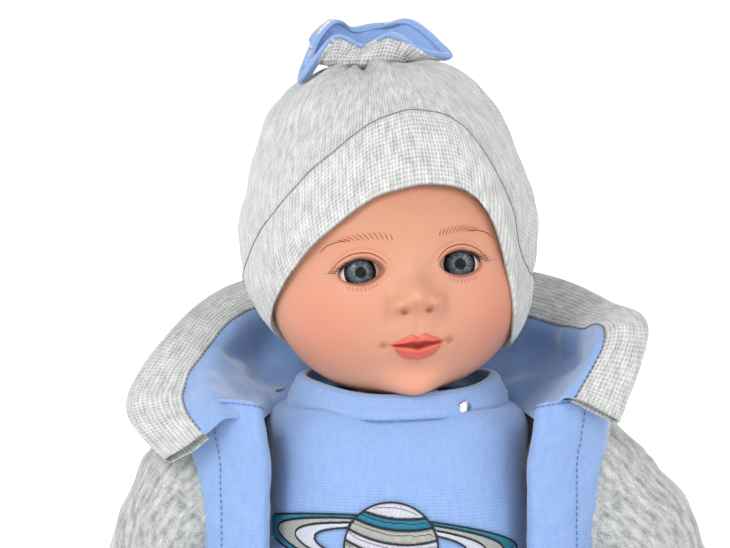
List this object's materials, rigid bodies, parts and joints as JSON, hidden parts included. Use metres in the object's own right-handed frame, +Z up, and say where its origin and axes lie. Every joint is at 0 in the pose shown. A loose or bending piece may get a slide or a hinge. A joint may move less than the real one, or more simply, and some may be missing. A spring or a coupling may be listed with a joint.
{
  "type": "interactive baby doll",
  "caption": "Seated soft-bodied baby doll with a turning vinyl head, sleeping eyes, swinging stuffed limbs, knit hat, hooded jacket, pullover and a sound module with a tummy button.",
  "frame": {"origin": "on the floor under the middle of the seated doll, at the middle of its outline seen from above", "axes": "+Z up, the doll faces -Y, the doll's left is +X"},
  "size_m": [0.2664, 0.2678, 0.3436],
  "materials": {
    "vinyl_skin": "satin",
    "grey_knit": "matte",
    "grey_fleece": "matte",
    "blue_velour": "matte",
    "blue_cord": "matte",
    "trouser_cloth": "matte",
    "eye_white": "gloss",
    "iris_glass": "gloss",
    "lash_fibre": "satin",
    "steel": "satin",
    "white_plastic": "satin",
    "tie_plastic": "satin",
    "body_cloth": "matte",
    "fibre_fill": "matte",
    "embroidery_thread": "satin",
    "stud_metal": "gloss",
    "speaker_black": "matte",
    "board_green": "satin",
    "cell_case": "satin",
    "contact_brass": "satin",
    "button_red": "satin",
    "switch_black": "satin"
  },
  "bodies": {
    "torso": {"torso_skin": "body_cloth", "torso_stuffing": "fibre_fill", "neck_plug": "white_plastic", "neck_tie": "tie_plastic", "pullover_body": "blue_velour", "pullover_neckband": "blue_velour", "embroidery_patch": "embroidery_thread", "press_stud": "stud_metal", "jacket_body": "grey_fleece", "jacket_lapel_left": "blue_velour", "jacket_lapel_right": "blue_velour", "jacket_hood": "grey_fleece", "hood_band": "grey_knit", "trousers_seat": "trouser_cloth", "trousers_waistband": "trouser_cloth", "module_front_case": "white_plastic", "module_rear_case": "white_plastic", "case_screws": "steel", "speaker": "speaker_black", "circuit_board": "board_green", "batteries": "cell_case", "battery_contacts": "contact_brass", "battery_door": "white_plastic", "battery_door_screw": "steel", "button_spring": "steel"},
    "head": {"head_shell": "vinyl_skin", "hat_crown": "grey_knit", "hat_band": "grey_knit", "hat_tie": "blue_cord", "hat_top_flaps": "grey_knit", "eye_socket_left": "white_plastic", "eye_socket_right": "white_plastic"},
    "button": {"belly_button": "button_red"},
    "switch": {"power_switch": "switch_black"},
    "eye_left": {"eyeball_left": "eye_white", "iris_left": "iris_glass", "eyelid_left": "vinyl_skin", "lashes_left": "lash_fibre", "eye_weight_left": "steel"},
    "arm_left": {"upper_arm_left": "body_cloth", "hand_left": "vinyl_skin", "arm_tie_left": "tie_plastic", "sleeve_left": "grey_fleece"},
    "leg_left": {"thigh_left": "body_cloth", "foot_left": "vinyl_skin", "leg_tie_left": "tie_plastic", "trouser_leg_left": "trouser_cloth"},
    "eye_right": {"eyeball_right": "eye_white", "iris_right": "iris_glass", "eyelid_right": "vinyl_skin", "lashes_right": "lash_fibre", "eye_weight_right": "steel"},
    "arm_right": {"upper_arm_right": "body_cloth", "hand_right": "vinyl_skin", "arm_tie_right": "tie_plastic", "sleeve_right": "grey_fleece"},
    "leg_right": {"thigh_right": "body_cloth", "foot_right": "vinyl_skin", "leg_tie_right": "tie_plastic", "trouser_leg_right": "trouser_cloth"}
  },
  "joints": [
    {"name": "head_turn", "type": "hinge", "parent": "torso", "child": "head", "pos_m": [0, 0.0209, 0.165], "axis": [0, 0, 1], "range_deg": [-60, 60]},
    {"name": "eye_left_close", "type": "hinge", "parent": "head", "child": "eye_left", "pos_m": [0.02468, -0.01932, 0.23477], "axis": [0.9866, 0.1474, 0.0698], "range_deg": [0, 48]},
    {"name": "eye_right_close", "type": "hinge", "parent": "head", "child": "eye_right", "pos_m": [-0.01824, -0.02573, 0.23173], "axis": [0.9866, 0.1474, 0.0698], "range_deg": [0, 48]},
    {"name": "arm_left_swing", "type": "hinge", "parent": "torso", "child": "arm_left", "pos_m": [0.1, 0.0159, 0.15], "axis": [-1, 0, 0], "range_deg": [-25, 90]},
    {"name": "arm_right_swing", "type": "hinge", "parent": "torso", "child": "arm_right", "pos_m": [-0.1, 0.0159, 0.15], "axis": [-1, 0, 0], "range_deg": [-25, 90]},
    {"name": "leg_left_swing", "type": "hinge", "parent": "torso", "child": "leg_left", "pos_m": [0.038, 0.0239, 0.028], "axis": [1, 0, 0], "range_deg": [0, 90]},
    {"name": "leg_right_swing", "type": "hinge", "parent": "torso", "child": "leg_right", "pos_m": [-0.038, 0.0239, 0.028], "axis": [1, 0, 0], "range_deg": [0, 90]},
    {"name": "belly_button_press", "type": "slide", "parent": "torso", "child": "button", "axis": [0, 1, 0], "range_m": [0, 0.002], "stiffness_N_per_m": 300, "springref_m": -0.001, "deforming": ["button_spring"]},
    {"name": "power_switch_slide", "type": "slide", "parent": "torso", "child": "switch", "axis": [1, 0, 0], "range_m": [0, 0.003]}
  ]
}
